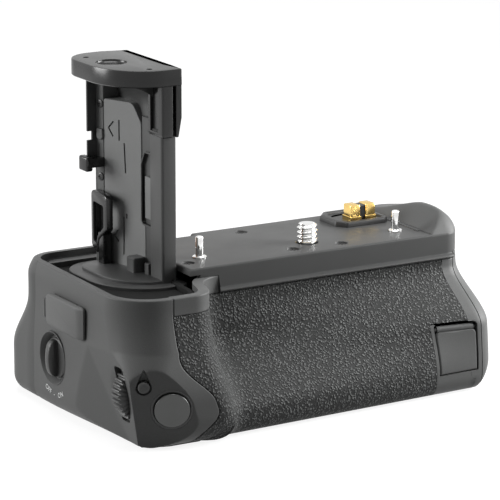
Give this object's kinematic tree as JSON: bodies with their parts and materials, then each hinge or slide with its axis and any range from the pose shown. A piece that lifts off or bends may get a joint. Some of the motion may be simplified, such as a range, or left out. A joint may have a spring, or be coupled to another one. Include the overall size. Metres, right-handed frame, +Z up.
{
  "type": "camera battery grip",
  "caption": "Vertical battery grip that screws under a mirrorless camera: insert tower, clamp screw with thumb wheel, shutter button, dial, power knob and a slide-out battery tray.",
  "frame": {"origin": "axis of the camera screw where it leaves the seat plane", "axes": "+X along the seat towards the battery tray's end cap, -Y towards the rubber finger front, +Z up out of the seat into the camera"},
  "size_m": [0.1358, 0.0902, 0.109],
  "materials": {
    "casing": "fine matt",
    "seat": "semi gloss",
    "rubber": "pebble grain",
    "tower": "satin",
    "label_plate": "satin",
    "trim": "matt",
    "control": "satin",
    "shutter": "turned",
    "steel": "polished",
    "plain_steel": "plain",
    "screw_black": "black oxide",
    "gold": "plated",
    "gear_brass": "machined",
    "board": "solder mask",
    "switch": "plain",
    "flex": "film"
  },
  "bodies": {
    "casing": {"bottom_plate": "casing", "tripod_socket": "plain_steel", "bottom_screws": "screw_black", "rear_shell": "casing", "thumb_rubber": "rubber", "front_shell": "casing", "front_rubber": "rubber", "door_frame": "casing", "control_housing": "casing", "top_cover": "seat", "plate_screws": "screw_black", "locating_pins": "steel", "connector_pad": "trim", "connector_core": "trim", "connector_contacts": "gold", "rim_gasket": "trim", "tower_platform": "tower", "tower_column": "tower", "tower_plate": "label_plate", "tower_head": "tower", "tower_contacts": "gold", "tower_clip": "trim", "tower_tab": "trim", "tower_screws": "plain_steel", "tower_flex": "flex", "bay_wall": "casing", "main_board": "board", "bay_contacts": "gold", "gear_bridge": "plain_steel", "wheel_axle": "plain_steel", "shutter_bezel": "control", "shutter_switch": "switch", "function_switch": "switch", "dial_bracket": "plain_steel", "dial_axle": "plain_steel", "knob_bezel": "casing", "power_switch": "switch", "port_socket": "trim", "port_hinge": "casing", "door_pin": "plain_steel", "cord_channel": "trim", "rear_board": "board", "rear_switches": "plain_steel"},
    "shutter": {"shutter_button": "shutter"},
    "function": {"function_button": "control"},
    "dial": {"main_dial": "control"},
    "knob": {"power_knob": "control"},
    "port_flap": {"port_cover": "rubber"},
    "door": {"cord_door": "casing"},
    "drawer": {"tray": "casing", "tray_contacts": "gold", "tray_cap": "casing"},
    "latch": {"tray_latch": "control"},
    "wheel": {"thumb_wheel": "control"},
    "clamp_screw": {"screw_gear": "gear_brass", "camera_screw": "steel"},
    "rear_a": {"rear_button_a": "control"},
    "rear_b": {"rear_button_b": "control"},
    "rear_c": {"rear_button_c": "control"}
  },
  "joints": [
    {"name": "shutter_press", "type": "slide", "parent": "casing", "child": "shutter", "axis": [0.4163, 0.901, 0.1219], "range_m": [0, 0.0009], "stiffness_N_per_m": 300},
    {"name": "function_press", "type": "slide", "parent": "casing", "child": "function", "axis": [0.4163, 0.901, 0.1219], "range_m": [0, 0.0005], "stiffness_N_per_m": 300},
    {"name": "dial_spin", "type": "hinge", "parent": "casing", "child": "dial", "pos_m": [-0.07167, -0.0239, -0.0317], "axis": [0, 1, 0], "continuous": true},
    {"name": "power_turn", "type": "hinge", "parent": "casing", "child": "knob", "pos_m": [-0.08075, 0.0176, -0.0304], "axis": [1, 0, 0], "range_deg": [0, 50]},
    {"name": "port_cover_open", "type": "hinge", "parent": "casing", "child": "port_flap", "pos_m": [-0.0811, 0.0206, -0.0149], "axis": [0, 0, -1], "range_deg": [0, 105]},
    {"name": "cord_door_open", "type": "hinge", "parent": "casing", "child": "door", "pos_m": [0.03821, -0.02595, -0.027], "axis": [-0.9928, 0.1196, 0], "range_deg": [0, 95]},
    {"name": "tray_slide", "type": "slide", "parent": "casing", "child": "drawer", "axis": [1, 0, 0], "range_m": [0, 0.075]},
    {"name": "latch_turn", "type": "hinge", "parent": "drawer", "child": "latch", "pos_m": [0.0465, 0.0132, -0.022], "axis": [1, 0, 0], "range_deg": [0, 90]},
    {"name": "wheel_spin", "type": "hinge", "parent": "casing", "child": "wheel", "pos_m": [0, 0.021, -0.0037], "axis": [0, 0, 1], "continuous": true},
    {"name": "screw_spin", "type": "hinge", "parent": "casing", "child": "clamp_screw", "pos_m": [0, 0, -0.0037], "axis": [0, 0, 1], "continuous": true},
    {"name": "rear_press_a", "type": "slide", "parent": "casing", "child": "rear_a", "axis": [0, -1, 0], "range_m": [0, 0.0005], "stiffness_N_per_m": 300},
    {"name": "rear_press_b", "type": "slide", "parent": "casing", "child": "rear_b", "axis": [0, -1, 0], "range_m": [0, 0.0005], "stiffness_N_per_m": 300},
    {"name": "rear_press_c", "type": "slide", "parent": "casing", "child": "rear_c", "axis": [0, -1, 0], "range_m": [0, 0.0005], "stiffness_N_per_m": 300}
  ],
  "couplings": [
    {"joint": "screw_spin", "follows": "wheel_spin", "ratio": -2}
  ]
}
